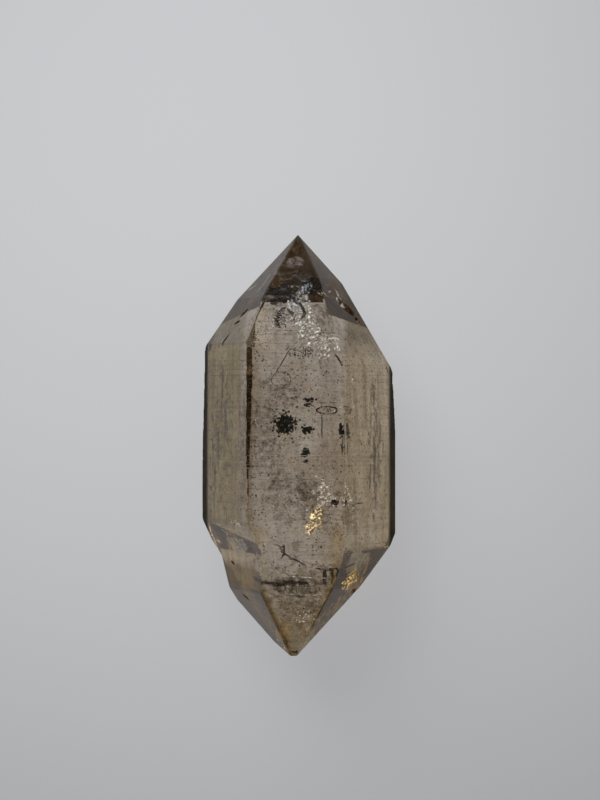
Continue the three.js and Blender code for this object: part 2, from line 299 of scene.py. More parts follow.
# Fractures and films: name, middle, direction across, direction along, width and length,
# bend, crumple, material. The two directions lie in the sheet.
SHEETS = [
    ("crumpled_fracture_top", (0.2, 13.6, 12.2), (0.9, -0.3, 0.2), (0.2, 1.0, -0.2), (2.0, 4.4), 0.4, 0.7,
     "silver_fracture"),
    ("crumpled_fracture", (0.8, 11.5, 12.7), (0.95, -0.3, 0.1), (0.35, 1.0, 0.1), (3.0, 3.8), 0.3, 0.9,
     "silver_fracture"),
    ("crumpled_fracture_foot", (2.3, 9.5, 13.1), (1.0, -0.2, 0.1), (0.2, 1.0, 0.1), (2.4, 2.6), 0.2, 0.6,
     "silver_fracture"),
    ("crumpled_shadow", (1.4, 11.3, 12.0), (0.95, -0.3, 0.1), (0.35, 1.0, 0.1), (3.4, 4.8), 0.3, 0.6,
     "brown_film"),
    # The silver and gold glints are fracture sheets that shine partly by the painted glint of their
    # finishes
    ("silver_glint", (2.85, -4.75, 12.2), (1.0, 0.35, 0.15), (-0.3, 1.0, 0.2), (2.3, 2.3), 0.2, 0.7,
     "silver_fracture"),
    ("glint_shadow", (2.3, -5.8, 11.2), (1.0, 0.4, 0.1), (-0.35, 1.0, 0.2), (3.2, 6.4), 0.2, 0.5,
     "brown_film"),
    ("gold_glint", (2.0, -7.0, 12.1), (1.0, -0.3, 0.1), (0.45, 1.0, 0.2), (1.3, 2.9), 0.2, 0.7,
     "gold_fracture"),
    ("gold_glint_low", (1.2, -8.1, 12.2), (1.0, 0.3, 0.1), (0.4, 1.0, 0.2), (1.1, 1.2), 0.2, 0.5,
     "gold_fracture"),
    ("brown_film_upper", (4.3, -4.3, 11.6), (1.0, 0.1, 0.1), (0.0, 1.0, 0.2), (1.2, 2.0), 0.2, 0.25,
     "amber_film"),
    ("brown_film_left", (2.0, -4.2, 11.4), (0.8, 0.4, 0.2), (-0.5, 1.0, 0.1), (0.8, 3.2), 0.2, 0.3,
     "brown_film"),
    ("tip_shadow", (-1.9, 14.6, 12.1), (1.0, 0.1, 0.0), (0.0, 0.8, -0.6), (4.0, 2.6), 0.4, 0.2,
     "dark_film"),
    ("tip_shadow_right", (1.5, 15.4, 11.6), (1.0, 0.2, 0.0), (0.0, 0.8, -0.6), (2.2, 2.0), 0.3, 0.3,
     "dark_film"),
    ("tip_patch", (-0.25, 17.9, 9.1), (1.0, 0.0, 0.0), (0.0, 0.8, -0.6), (1.9, 1.4), 0.2, 0.3, "tip_haze"),
    ("tip_purple", (-0.2, 19.1, 8.8), (1.0, 0.0, 0.0), (0.0, 0.8, -0.6), (1.2, 1.6), 0.1, 0.1,
     "brown_film"),
    ("middle_veil", (0.6, 1.0, 9.2), (1.0, 0.1, 0.1), (0.0, 1.0, 0.1), (7.5, 15.0), 0.8, 1.0, "pale_veil"),
    ("left_streaks_a", (-6.2, 4.2, 10.2), (0.6, 0.0, 0.8), (0.0, 1.0, 0.0), (2.2, 11.0), 0.3, 0.5,
     "streak_film"),
    ("left_streaks_b", (-7.4, -1.0, 8.8), (0.6, 0.0, 0.8), (0.0, 1.0, 0.0), (2.2, 13.0), 0.3, 0.5,
     "streak_film"),
    ("left_streaks_c", (-5.9, -3.6, 9.8), (0.6, 0.0, 0.8), (0.0, 1.0, 0.0), (2.4, 8.0), 0.3, 0.5,
     "pale_streaks"),
    ("right_streaks_a", (5.5, 5.0, 11.0), (0.6, 0.0, -0.8), (0.0, 1.0, 0.0), (2.2, 8.0), 0.3, 0.5,
     "pale_streaks"),
    ("right_streaks_b", (6.5, -0.5, 9.6), (0.6, 0.0, -0.8), (0.0, 1.0, 0.0), (2.4, 12.0), 0.3, 0.5,
     "streak_film"),
    ("right_streaks_c", (7.5, -3.5, 8.4), (0.6, 0.0, -0.8), (0.0, 1.0, 0.0), (1.8, 9.0), 0.3, 0.5,
     "pale_streaks"),
    ("left_veil", (-5.4, 0.0, 8.0), (0.7, 0.0, 0.7), (0.1, 1.0, 0.0), (3.5, 13.0), 0.5, 0.6, "amber_film"),
    ("middle_shadow_high", (-1.4, 5.2, 11.5), (1.0, 0.1, 0.1), (0.3, 1.0, 0.1), (3.8, 4.0), 0.4, 0.9,
     "brown_film"),
    ("middle_shadow_left", (-2.7, 0.2, 11.6), (1.0, 0.1, 0.1), (0.1, 1.0, 0.1), (2.6, 8.0), 0.3, 0.8,
     "brown_film"),
    ("middle_shadow_low", (-0.6, -5.2, 11.8), (1.0, 0.1, 0.1), (0.2, 1.0, 0.1), (5.4, 6.0), 0.4, 0.9,
     "brown_film"),
    ("cap_veil", (-0.4, -16.0, 11.0), (1.0, 0.0, 0.0), (0.0, 1.0, 0.5), (4.4, 4.6), 0.3, 0.7, "pale_veil"),
    ("cap_shadow", (0.5, -15.6, 10.4), (1.0, 0.0, 0.0), (0.0, 1.0, 0.5), (4.4, 4.6), 0.3, 0.7,
     "brown_film"),
    ("low_veil", (0.4, -12.5, 9.0), (1.0, 0.0, 0.1), (0.0, 1.0, 0.2), (7.5, 6.0), 0.6, 0.8, "amber_film"),
    ("lowest_veil", (0.0, -16.3, 8.4), (1.0, 0.0, 0.0), (0.0, 1.0, 0.2), (4.6, 5.0), 0.5, 0.6,
     "amber_film"),
    ("lower_band", (0.1, -13.0, 11.7), (1.0, 0.0, 0.0), (0.0, 0.8, 0.6), (7.4, 2.6), 0.1, 0.3,
     "brown_film"),
    ("lower_band_line", (-0.5, -12.9, 12.2), (1.0, 0.0, 0.0), (0.0, 0.8, 0.6), (5.4, 0.7), 0.1, 0.2,
     "dark_film"),
    ("lower_band_core", (-0.3, -12.9, 11.9), (1.0, 0.0, 0.0), (0.0, 0.8, 0.6), (6.4, 1.5), 0.1, 0.3,
     "brown_film"),
    ("crazed_patch", (4.7, -12.9, 11.4), (0.8, 0.4, -0.4), (-0.3, 1.0, 0.2), (2.3, 2.0), 0.2, 0.6,
     "gold_fracture"),
    ("low_tip_veil", (0.0, -19.9, 8.7), (1.0, 0.0, 0.0), (0.0, 1.0, 0.3), (2.4, 3.4), 0.1, 0.4, "low_haze"),
    ("low_tip_haze", (0.1, -19.2, 8.1), (1.0, 0.1, 0.0), (0.0, 1.0, 0.1), (3.0, 4.2), 0.2, 0.4, "low_haze"),
    ("golden_cap_right", (2.7, -16.2, 9.6), (0.6, -0.4, -0.7), (0.66, 0.75, 0.0), (2.4, 8.0), 0.2, 0.3,
     "golden_streaks"),
    ("golden_tier_right", (5.4, -12.4, 10.4), (0.6, -0.2, -0.8), (0.3, 1.0, 0.0), (2.6, 4.6), 0.2, 0.3,
     "golden_streaks"),
    ("golden_cap_left", (-3.0, -16.2, 9.6), (0.6, 0.4, 0.7), (-0.7, 0.72, 0.0), (2.4, 8.0), 0.2, 0.3,
     "golden_streaks"),
    ("golden_tier_left", (-5.7, -11.2, 10.0), (0.6, 0.2, 0.8), (-0.3, 1.0, 0.0), (2.6, 4.6), 0.2, 0.3,
     "golden_streaks"),
    ("tip_veil", (0.0, 16.9, 9.6), (1.0, 0.0, 0.0), (0.0, 0.8, -0.6), (3.6, 3.8), 0.3, 0.5, "brown_film"),
    ("tip_streaks", (-0.1, 16.3, 10.3), (1.0, 0.0, 0.0), (0.0, 0.8, -0.6), (3.6, 4.4), 0.2, 0.3,
     "tip_streaks"),
    ("shoulder_glow", (-5.4, -9.2, 10.4), (0.7, -0.2, 0.7), (-0.5, 1.0, 0.0), (3.0, 4.4), 0.2, 0.4,
     "golden_streaks"),
    ("shoulder_haze_left", (-5.3, -9.6, 11.4), (0.7, 0.0, 0.7), (-0.3, 1.0, 0.0), (3.2, 2.8), 0.2, 0.4,
     "low_haze"),
    ("shoulder_haze_right", (5.1, -10.9, 11.5), (0.7, 0.0, -0.7), (0.3, 1.0, 0.0), (3.6, 3.2), 0.2, 0.4,
     "low_haze"),
    ("golden_ledge", (-5.1, -12.6, 9.6), (0.7, 0.0, 0.7), (0.1, 1.0, 0.0), (2.6, 3.4), 0.2, 0.4,
     "amber_film"),
]

# Facets of a sheet: larger ones in a fracture than in a film
FACETS_PER_MM = {"silver_fracture": 7.5, "gold_fracture": 7.0}
FILM_FACETS_PER_MM = 12
LEAST_FACETS = 8
MOST_COLUMNS = 90
MOST_ROWS = 140

# A sheet's outline is a round that sways on a large scale and has small teeth. Its crumples are a fractal
# noise: scale, roughness, how much finer each layer is, and how many layers there are.
OUTLINE_REACH = 0.36
OUTLINE_SWAY = 0.2
OUTLINE_SWAY_SCALE = 1.7
OUTLINE_TEETH = 0.06
OUTLINE_TEETH_SCALE = 14
SHEET_STRETCH = 1.25
SHEET_SHIFT = 50
CRUMPLE_SCALE = 1.4
CRUMPLE_NOISE = (0.7, 2.2, 4)

# Sheets and cracks end this far inside the crystal's surface, and crumbs of fewer faces are left out
SHEET_MARGIN = 0.12 * MM
LEAST_ISLAND = 8

# Cracks by material: the points that each one runs through, and its width
CRACKS = {
    "amber_film": [
        ([(3.9, -4.1, 13.4), (4.1, -4.7, 13.5), (4.0, -5.3, 13.5)], 0.75),
    ],
    "brown_film": [
        ([(2.2, 8.8, 13.5), (2.6, 7.8, 13.6), (3.2, 6.4, 13.6)], 0.34),
        ([(5.9, -7.5, 12.4), (6.6, -6.2, 11.3), (7.1, -5.0, 10.4)], 0.14),
        ([(5.5, -7.2, 12.8), (6.1, -6.0, 11.8), (6.6, -5.0, 11.0)], 0.1),
        ([(4.5, 14.0, 10.0), (5.2, 12.9, 10.3), (5.9, 11.6, 10.6)], 0.9),
        ([(-7.0, -7.6, 10.4), (-6.2, -8.8, 11.0), (-5.6, -10.4, 11.2)], 0.16),
    ],
    "dark_film": [
        # The hooks below the upper tip
        ([(-1.0, 13.3, 12.6), (-1.6, 12.7, 12.9), (-1.9, 12.0, 13.1), (-1.6, 11.1, 13.4)], 0.7),
        ([(-0.9, 13.2, 12.7), (-0.3, 12.6, 12.7), (-0.2, 11.9, 12.9)], 0.42),
        ([(-0.7, 14.2, 12.1), (0.3, 13.7, 12.5), (0.9, 12.8, 12.8), (0.6, 12.0, 13.0)], 0.4),
        # A hairline on the upper front
        ([(-0.5, 9.4, 13.7), (-1.1, 8.4, 14.0), (-1.9, 6.9, 14.0)], 0.13),
        # Under the bubble, and beside the edge cluster
        ([(2.58, 3.1, 12.1), (2.55, 2.0, 12.2), (2.6, 0.7, 12.3)], 0.12),
        ([(4.6, 0.9, 15.2), (4.65, 0.0, 15.2), (4.6, -0.9, 15.2)], 0.16),
        # From the brown blob across the right flank
        ([(4.5, -5.4, 15.0), (5.0, -5.7, 14.0), (5.5, -5.5, 13.2), (6.0, -5.6, 12.4)], 0.16),
        # The star on the lower front
        ([(-1.95, -9.4, 14.8), (-0.95, -9.9, 14.7), (0.23, -10.7, 14.3), (1.12, -11.2, 14.0)], 0.17),
        ([(-1.05, -9.4, 14.8), (-0.95, -9.9, 14.7), (-1.25, -10.4, 14.5)], 0.24),
        # The upper right tier
        ([(4.1, 14.3, 10.4), (4.8, 13.5, 10.7), (5.3, 12.3, 11.0)], 0.42),
        # The gate above the dark band, and a short one beside it
        ([(1.9, -11.3, 13.2), (3.0, -11.5, 13.1), (4.9, -11.2, 12.6)], 0.3),
        ([(4.0, -11.5, 13.7), (4.8, -11.3, 13.1), (5.4, -11.2, 12.5)], 0.26),
        ([(2.9, -11.4, 13.1), (2.8, -12.3, 12.8), (2.85, -13.1, 12.5)], 0.36),
        ([(3.7, -11.4, 13.0), (3.6, -12.2, 12.7), (3.4, -13.0, 12.3)], 0.28),
        ([(-1.2, -11.8, 13.6), (-0.5, -12.3, 13.3), (0.0, -12.6, 13.1)], 0.12),
        # The ledge at the lower left
        ([(-8.0, -7.7, 8.9), (-6.6, -8.6, 10.2), (-5.0, -9.9, 11.5)], 0.26),
    ],
    "gold_fracture": [
        ([(-2.0, -19.1, 8.7), (-1.5, -19.8, 8.8), (-0.95, -20.3, 8.8)], 0.3),
    ],
    "silver_fracture": [
        # The glint at the lower front, silver cracks that shine partly by a painted glint
        ([(1.9, -5.6, 13.4), (2.5, -4.9, 13.4), (3.2, -4.2, 13.3)], 0.34),
        ([(2.4, -5.9, 13.4), (3.0, -5.1, 13.4), (3.6, -4.6, 13.3)], 0.3),
        ([(1.6, -6.6, 13.2), (2.1, -6.0, 13.3), (2.5, -5.5, 13.3)], 0.26),
        # The bright folds of the crumpled fracture
        ([(-0.8, 11.2, 13.5), (-0.1, 11.8, 13.5), (0.5, 12.6, 13.4)], 0.3),
        ([(-0.3, 10.9, 13.6), (0.4, 11.5, 13.6), (1.1, 12.2, 13.5)], 0.34),
        ([(0.4, 10.8, 13.7), (1.0, 11.3, 13.7), (1.6, 11.8, 13.6)], 0.3),
        ([(1.2, 10.0, 13.9), (1.8, 10.6, 13.8), (2.4, 11.0, 13.7)], 0.3),
        # The rim of the ledge, and the rims of the dark band
        ([(-7.3, -7.9, 10.0), (-6.4, -8.7, 10.7), (-5.4, -9.9, 11.3)], 0.12),
        ([(-1.0, -14.0, 12.9), (0.9, -14.2, 12.8), (2.8, -14.1, 12.8)], 0.14),
        ([(-2.9, -12.4, 13.2), (0.0, -12.3, 13.4), (3.0, -12.4, 13.2)], 0.12),
        # The upper tip
        ([(-1.7, 15.6, 10.9), (-0.7, 15.3, 11.1), (0.3, 15.2, 11.1)], 0.16),
        ([(-1.7, 15.0, 11.1), (-0.9, 14.9, 11.2), (-0.1, 14.6, 11.4)], 0.12),
        ([(1.2, 15.1, 11.2), (1.9, 14.8, 11.4), (2.5, 14.4, 11.5)], 0.12),
        ([(3.2, 15.4, 9.9), (3.7, 14.9, 9.8), (4.0, 14.2, 9.9)], 0.3),
        # Glints in the right flank, silver cracks that shine partly by a painted glint
        ([(5.2, 6.7, 14.3), (5.3, 6.3, 14.3), (5.2, 5.8, 14.3)], 0.3),
        ([(6.2, 5.9, 12.7), (6.35, 5.5, 12.6), (6.4, 4.9, 12.6)], 0.3),
        ([(5.9, 4.3, 13.0), (6.1, 3.5, 12.9)], 0.2),
    ],
    "tip_haze": [
        ([(-2.2, 15.1, 10.9), (-1.2, 15.4, 10.9), (-0.4, 15.2, 11.1)], 0.34),
        ([(0.4, 15.9, 10.6), (1.2, 15.7, 10.7), (1.9, 15.2, 10.8)], 0.3),
        ([(-3.4, 14.6, 10.0), (-2.9, 15.6, 9.7), (-2.2, 16.6, 9.4)], 0.3),
    ],
}

# A crack is a blade whose sides are ragged and whose course sways a little
CRACK_SEED = 5
CRACK_STEPS = 6
CRACK_END = 0.03
CRACK_TAPER = 0.6
CRACK_RAGGED = 0.7
CRACK_RAGGED_SCALE = (2.3, 3)
CRACK_SWAY = 0.12
CRACK_SWAY_SCALE = 1.6
CRACK_WAVES = 100
CRACK_WAVE_GAP = 9
CRACK_TILT = 0.5

# Ring-shaped marks: middle, reach in x and y, thickness, wobble
RINGS = [
    ((-1.35, 6.45, 13.6), (0.95, 0.8), 0.06, 0.12),
    ((3.05, 3.5, 12.7), (1.0, 0.36), 0.11, 0.1),
    ((3.3, 3.5, 12.8), (0.17, 0.15), 0.07, 0.0),
    ((-5.2, -8.9, 12.2), (1.0, 0.7), 0.06, 0.25),
]

# A ring is a row of grains, with a few gaps
RING_GRAINS_PER_MM = 60
RING_LEAST_GRAINS = 14
RING_SWAY_SCALE = 1.5
RING_SCATTER = 0.05
RING_SHARE = 0.85
RING_SEED = 8

# Grains: how lumpy, how small beside the largest one, how far from the crystal's surface beside their size,
# and how widely a cluster is scattered
GRAIN_LUMPS = (0.6, 1.3)
GRAIN_SIZES = (0.35, 1.0)
RING_GRAIN_SIZES = (0.4, 1.0)
GRAIN_CLEARANCE = 1.4
CLUSTER_SPREAD = 0.5

# Loose specks all through the crystal, in crowds, and the box that they are scattered in
DARK_SPECKS = 2400
BRIGHT_SPECKS = 500
SPECK_SIZE = (0.02, 0.088)
SPECK_MARGIN = 0.35 * MM
SPECK_CROWD_SCALE = 260
SPECK_CROWD = 0.35
BODY_LOW = Vector((-8.5, -17.0, 1.5)) * MM
BODY_HIGH = Vector((8.5, 14.0, 15.8)) * MM

# The grey body among the dark grains, and the two-phase bubble
GREY_BODY = [
    ((0.87, 2.6, 12.9), 0.78),
    ((1.17, 1.5, 12.8), 0.62),
    ((1.02, 0.4, 12.9), 0.9),
    ((0.92, -0.4, 12.9), 0.6),
]
GREY_LUMPS = 0.3
GREY_LUMPS_SCALE = 1900
GREY_NOISE = (0.8, 2.0, 4)
BUBBLE_PLACE = Vector((3.05, 3.5, 12.6)) * MM
BUBBLE_SIZE = Vector((0.95, 0.34, 0.3)) * MM
BUBBLE_WAIST = 0.72
BUBBLE_FLARE = 0.34
BUBBLE_CORE = 0.13 * MM
BUBBLE_CORE_SHIFT = Vector((0.25, 0, 0)) * MM
BUBBLE_COLOUR = (0.9, 0.88, 0.82, 1.0)
BUBBLE_IOR = 1.12
BUBBLE_ROUGHNESS = 0.02


def new_material(name):
    material = bpy.data.materials.new(name)
    material.use_nodes = True
    return material


def add_noise(tree, scale, stretch=(1.0, 1.0, 1.0), detail=4.0, rough=0.5):
    """A noise value over the object, stretched along its axes."""
    coordinates = tree.nodes.new("ShaderNodeTexCoord")
    mapping = tree.nodes.new("ShaderNodeMapping")
    mapping.inputs["Scale"].default_value = stretch
    texture = tree.nodes.new("ShaderNodeTexNoise")
    texture.inputs["Scale"].default_value = scale
    texture.inputs["Detail"].default_value = detail
    texture.inputs["Roughness"].default_value = rough
    tree.links.new(coordinates.outputs["Object"], mapping.inputs["Vector"])
    tree.links.new(mapping.outputs["Vector"], texture.inputs["Vector"])
    return texture.outputs["Fac"]


def add_range(tree, value, low, high, to_low=0.0, to_high=1.0):
    spread = tree.nodes.new("ShaderNodeMapRange")
    spread.inputs["From Min"].default_value = low
    spread.inputs["From Max"].default_value = high
    spread.inputs["To Min"].default_value = to_low
    spread.inputs["To Max"].default_value = to_high
    tree.links.new(value, spread.inputs["Value"])
    return spread.outputs["Result"]


def add_mix(tree, share, first, second, blend="MIX"):
    """Mixes two colours. Each is a fixed colour or a node's output."""
    mix = tree.nodes.new("ShaderNodeMix")
    mix.data_type = "RGBA"
    mix.blend_type = blend
    tree.links.new(share, mix.inputs["Factor"])
    for socket, colour in ((mix.inputs[6], first), (mix.inputs[7], second)):
        if isinstance(colour, tuple):
            socket.default_value = colour
        else:
            tree.links.new(colour, socket)
    return mix.outputs[2]


def add_coordinate(tree, axis):
    coordinates = tree.nodes.new("ShaderNodeTexCoord")
    split = tree.nodes.new("ShaderNodeSeparateXYZ")
    tree.links.new(coordinates.outputs["Object"], split.inputs["Vector"])
    return split.outputs[axis]


def add_math(tree, operation, first, second=None):
    """A math node. Its second value is a fixed number, a node's output, or left out."""
    node = tree.nodes.new("ShaderNodeMath")
    node.operation = operation
    tree.links.new(first, node.inputs[0])
    if isinstance(second, float):
        node.inputs[1].default_value = second
    elif second is not None:
        tree.links.new(second, node.inputs[1])
    return node.outputs[0]


def add_pattern(tree, name):
    pattern, spread = PATTERNS[name]
    return add_range(tree, add_noise(tree, *pattern), *spread)


def find_low_sides(tree, left_to_right, low_to_high):
    """Where the steep faces at the lower left and at the lower right are."""
    lean = add_math(tree, "MULTIPLY", low_to_high, -LOW_SIDE_LEAN)
    low_side = add_range(tree, low_to_high, *LOW_SIDE_ZONE)
    sides = []
    for operation in ("SUBTRACT", "ADD"):
        outward = add_math(tree, operation, lean, left_to_right)
        reached = add_range(tree, outward, *LOW_SIDE_REACH)
        sides.append(add_math(tree, "MULTIPLY", low_side, reached))
    return sides


def find_ridges(tree, left_to_right, low_to_high):
    """Where the patchy strips along the edges of the front face are. They end above the lower end."""
    above_low = add_range(tree, low_to_high, *ABOVE_LOW_ZONE)
    patches = add_math(tree, "MULTIPLY", add_pattern(tree, "patches"), above_low)
    ridges = []
    for place, zone, most in RIDGES:
        away = add_math(tree, "ABSOLUTE", add_math(tree, "SUBTRACT", left_to_right, place))
        ridge = add_range(tree, away, *zone, 0.0, most)
        ridges.append(add_math(tree, "MULTIPLY", ridge, patches))
    return ridges


def find_shoulders(tree, across, low_to_high):
    """Where the flanks turn into the lower end."""
    away = add_math(tree, "ABSOLUTE", add_math(tree, "SUBTRACT", low_to_high, SHOULDER))
    beside = add_range(tree, across, *SHOULDER_START)
    return add_math(tree, "MULTIPLY", add_range(tree, away, *SHOULDER_ZONE), beside)


def quartz_layers(tree, low_sides, lines, edge):
    """The layers of the quartz's tint: where each one is, its colour, and how it is laid on."""
    left_to_right = add_coordinate(tree, "X")
    low_to_high = add_coordinate(tree, "Y")
    across = add_math(tree, "ABSOLUTE", left_to_right)
    left = add_range(tree, left_to_right, *LEFT_ZONE)
    right = add_range(tree, left_to_right, *RIGHT_ZONE)
    high_left = add_math(tree, "MULTIPLY", left, add_range(tree, low_to_high, *HIGH_LEFT_ZONE))
    high_right = add_math(tree, "MULTIPLY", right, add_range(tree, low_to_high, *HIGH_ZONE))
    left_ridge, right_ridge = find_ridges(tree, left_to_right, low_to_high)
    in_flank = add_range(tree, across, *FLANK_ZONE, *FLANK_STREAKS)
    streaks = add_math(tree, "MULTIPLY", add_pattern(tree, "streaks"), in_flank)
    return [
        (left, QUARTZ_LEFT, "MIX"),
        (high_left, QUARTZ_HIGH_LEFT, "MIX"),
        (right, QUARTZ_RIGHT, "MIX"),
        (high_right, QUARTZ_HIGH_RIGHT, "MIX"),
        (add_range(tree, low_to_high, *TIP_ZONE), QUARTZ_TIP, "MULTIPLY"),
        (add_range(tree, low_to_high, *LOW_ZONE), QUARTZ_LOW, "MIX"),
        (low_sides[0], QUARTZ_LOW_LEFT, "MIX"),
        (low_sides[1], QUARTZ_LOW_RIGHT, "MIX"),
        (find_shoulders(tree, across, low_to_high), QUARTZ_SHOULDER, "MIX"),
        (left_ridge, QUARTZ_RIDGE, "MIX"),
        (right_ridge, QUARTZ_RIDGE, "MIX"),
        (streaks, QUARTZ_CLOUDED, "MULTIPLY"),
        (add_pattern(tree, "clouds"), QUARTZ_CLOUDED, "MULTIPLY"),
        (add_pattern(tree, "wisps"), QUARTZ_WISPED, "MULTIPLY"),
        (add_range(tree, lines, *LINES_SPREAD), QUARTZ_CLOUDED, "MULTIPLY"),
        (add_pattern(tree, "flecks"), QUARTZ_FLECK, "MIX"),
        # Painted shade along the outermost edges
        (edge, QUARTZ_EDGE_SHADE, "MIX"),
    ]


def add_relief(tree, lines, shader):
    lines_height = add_math(tree, "MULTIPLY", lines, LINES_HEIGHT)
    height = add_math(tree, "ADD", lines_height, add_noise(tree, *GROOVES))
    bump = tree.nodes.new("ShaderNodeBump")
    bump.inputs["Strength"].default_value = BUMP_STRENGTH
    bump.inputs["Distance"].default_value = BUMP_DISTANCE
    tree.links.new(height, bump.inputs["Height"])
    tree.links.new(bump.outputs["Normal"], shader.inputs["Normal"])


def quartz_material():
    material = new_material("smoky_quartz")
    tree = material.node_tree
    shader = tree.nodes["Principled BSDF"]
    shader.inputs["IOR"].default_value = QUARTZ_IOR
    shader.inputs["Transmission Weight"].default_value = 1.0
    shader.inputs["Specular Tint"].default_value = QUARTZ_SPECULAR

    left_to_right = add_coordinate(tree, "X")
    low_sides = find_low_sides(tree, left_to_right, add_coordinate(tree, "Y"))
    # The outermost edges, for their painted shade and their frost
    edge = add_range(tree, add_math(tree, "ABSOLUTE", left_to_right), *EDGE_ZONE)
    lines = add_noise(tree, *LINES)
    tint = QUARTZ_CLEAR
    for share, colour, blend in quartz_layers(tree, low_sides, lines, edge):
        tint = add_mix(tree, share, tint, colour, blend)
    tree.links.new(tint, shader.inputs["Base Color"])

    frost = add_pattern(tree, "frost")
    frosted = [(edge, EDGE_FROST), (low_sides[0], LOW_SIDE_FROST), (low_sides[1], LOW_SIDE_FROST)]
    for share, amount in frosted:
        frost = add_math(tree, "ADD", frost, add_math(tree, "MULTIPLY", share, amount))
    tree.links.new(frost, shader.inputs["Roughness"])
    add_relief(tree, lines, shader)

    absorption = tree.nodes.new("ShaderNodeVolumeAbsorption")
    absorption.inputs["Color"].default_value = QUARTZ_ABSORPTION_COLOUR
    absorption.inputs["Density"].default_value = QUARTZ_ABSORPTION
    tree.links.new(absorption.outputs["Volume"], tree.nodes["Material Output"].inputs["Volume"])
    return material


def mottle_noise(group, vector, scale, times, detail, low, high):
    """A mask from a noise whose scale is a multiple of the group's own."""
    multiply = group.nodes.new("ShaderNodeMath")
    multiply.operation = "MULTIPLY"
    multiply.inputs[1].default_value = times
    group.links.new(scale, multiply.inputs[0])
    texture = group.nodes.new("ShaderNodeTexNoise")
    texture.inputs["Detail"].default_value = detail
    group.links.new(vector, texture.inputs["Vector"])
    group.links.new(multiply.outputs["Value"], texture.inputs["Scale"])
    spread = group.nodes.new("ShaderNodeMapRange")
    for socket, limit in ((spread.inputs["From Min"], low), (spread.inputs["From Max"], high)):
        if isinstance(limit, float):
            socket.default_value = limit
        else:
            group.links.new(limit, socket)
    group.links.new(texture.outputs["Fac"], spread.inputs["Value"])
    return spread


def make_mottle():
    """The mottling that all inclusions share: their two tones, where they are bare, and the spots of their
    painted glint.
    """
    group = bpy.data.node_groups.new("inclusion_mottle", "ShaderNodeTree")
    for name in ("Scale", "Along", "Bare Below", "Full Above", "Opacity"):
        group.interface.new_socket(name, in_out="INPUT", socket_type="NodeSocketFloat")
    for name in ("Tone", "Cover", "Painted Glint Spots"):
        group.interface.new_socket(name, in_out="OUTPUT", socket_type="NodeSocketFloat")
    given = group.nodes.new("NodeGroupInput")
    result = group.nodes.new("NodeGroupOutput")
    stretch = group.nodes.new("ShaderNodeCombineXYZ")
    stretch.inputs["X"].default_value = 1.0
    stretch.inputs["Z"].default_value = 1.0
    group.links.new(given.outputs["Along"], stretch.inputs["Y"])
    coordinates = group.nodes.new("ShaderNodeTexCoord")
    mapping = group.nodes.new("ShaderNodeMapping")
    group.links.new(coordinates.outputs["Object"], mapping.inputs["Vector"])
    group.links.new(stretch.outputs["Vector"], mapping.inputs["Scale"])
    vector = mapping.outputs["Vector"]
    scale = given.outputs["Scale"]
    limits = (given.outputs["Bare Below"], given.outputs["Full Above"])
    tone = mottle_noise(group, vector, scale, *TONE_NOISE)
    cover = mottle_noise(group, vector, scale, *COVER_NOISE, *limits)
    painted_glint_spots = mottle_noise(group, vector, scale, *PAINTED_GLINT_NOISE)
    group.links.new(given.outputs["Opacity"], cover.inputs["To Max"])
    group.links.new(tone.outputs["Result"], result.inputs["Tone"])
    group.links.new(cover.outputs["Result"], result.inputs["Cover"])
    group.links.new(painted_glint_spots.outputs["Result"], result.inputs["Painted Glint Spots"])
    return group


def inclusion_material(mottle, name, low, high, rough, scale, cover, opacity,
                       metallic=0.0, glint=0.0, glow=0.0, along=1.0):
    """A mottled material, as the table of finishes has it."""
    material = new_material(name)
    tree = material.node_tree
    shader = tree.nodes["Principled BSDF"]
    group = tree.nodes.new("ShaderNodeGroup")
    group.node_tree = mottle
    group.inputs["Scale"].default_value = scale
    group.inputs["Along"].default_value = along
    group.inputs["Bare Below"].default_value = cover[0]
    group.inputs["Full Above"].default_value = cover[1]
    group.inputs["Opacity"].default_value = opacity
    tree.links.new(add_mix(tree, group.outputs["Tone"], low, high), shader.inputs["Base Color"])
    shader.inputs["Roughness"].default_value = rough
    shader.inputs["Metallic"].default_value = metallic
    # Painted glow: the pale tone is given off as a little light, standing in for light caught inside the
    # crystal
    if glow:
        shader.inputs["Emission Color"].default_value = high
        shader.inputs["Emission Strength"].default_value = glow
    # Painted glint: the pale tone is given off as light in spots, standing in for highlights
    if glint:
        painted_glint_spots = add_mix(tree, group.outputs["Painted Glint Spots"], (0.0, 0.0, 0.0, 1.0), high)
        tree.links.new(painted_glint_spots, shader.inputs["Emission Color"])
        shader.inputs["Emission Strength"].default_value = glint
    if cover[1] > 0.0:
        tree.links.new(group.outputs["Cover"], shader.inputs["Alpha"])
    return material


def bubble_material():
    material = new_material("bubble")
    shader = material.node_tree.nodes["Principled BSDF"]
    shader.inputs["Base Color"].default_value = BUBBLE_COLOUR
    shader.inputs["Roughness"].default_value = BUBBLE_ROUGHNESS
    shader.inputs["IOR"].default_value = BUBBLE_IOR
    shader.inputs["Transmission Weight"].default_value = 1.0
    return material


def make_materials():
    mottle = make_mottle()
    materials = {name: inclusion_material(mottle, name, **looks) for name, looks in FINISHES.items()}
    materials["bubble"] = bubble_material()
    return materials


def finish_piece(name, bm, material, smooth=False):
    mesh = bpy.data.meshes.new(name)
    bm.to_mesh(mesh)
    bm.free()
    mesh.polygons.foreach_set("use_smooth", [smooth] * len(mesh.polygons))
    mesh.materials.append(material)
    piece = bpy.data.objects.new(name, mesh)
    bpy.context.scene.collection.objects.link(piece)
    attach(piece, "root")


def add_grain(bm, place, size, chance):
    """A lumpy grain of twenty faces."""
    matrix = Matrix.Translation(place)
    grain = bmesh.ops.create_icosphere(bm, subdivisions=1, radius=size, matrix=matrix)
    for vert in grain["verts"]:
        vert.co = place + (vert.co - place) * chance.uniform(*GRAIN_LUMPS)


